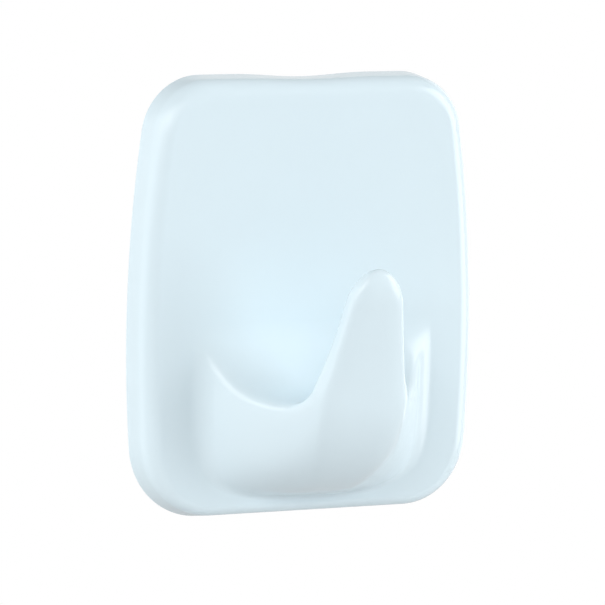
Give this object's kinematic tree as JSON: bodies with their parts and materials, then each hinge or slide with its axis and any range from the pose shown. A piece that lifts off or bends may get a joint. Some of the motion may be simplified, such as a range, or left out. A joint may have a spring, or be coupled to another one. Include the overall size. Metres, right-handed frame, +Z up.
{
  "type": "adhesive wall hook",
  "caption": "Rounded moulded plate with a tongue hook that slides up off a base plate held to the wall by a stretch-release adhesive strip.",
  "frame": {"origin": "centre of the hook on the wall plane, on the wall face of the adhesive strip", "axes": "+Z up, +Y into the wall, +X to the right seen from the front, so the hook stands out along -Y"},
  "size_m": [0.0482, 0.0233, 0.056],
  "materials": {
    "shell_gloss": "polished moulding, pale ice blue",
    "base_matte": "fine satin moulding, white",
    "foam": "closed-cell foam, white",
    "adhesive": "tacky clear adhesive on white foam",
    "tab_film": "thin matte film"
  },
  "bodies": {
    "mount": {"base_plate": "base_matte", "strip_foam": "foam", "wall_adhesive": "adhesive", "plate_adhesive": "adhesive", "pull_tab": "tab_film"},
    "hook": {"hook_shell": "shell_gloss"}
  },
  "joints": [
    {"name": "shell_slide", "type": "slide", "parent": "mount", "child": "hook", "axis": [0, 0, 1], "range_m": [0, 0.034]}
  ]
}
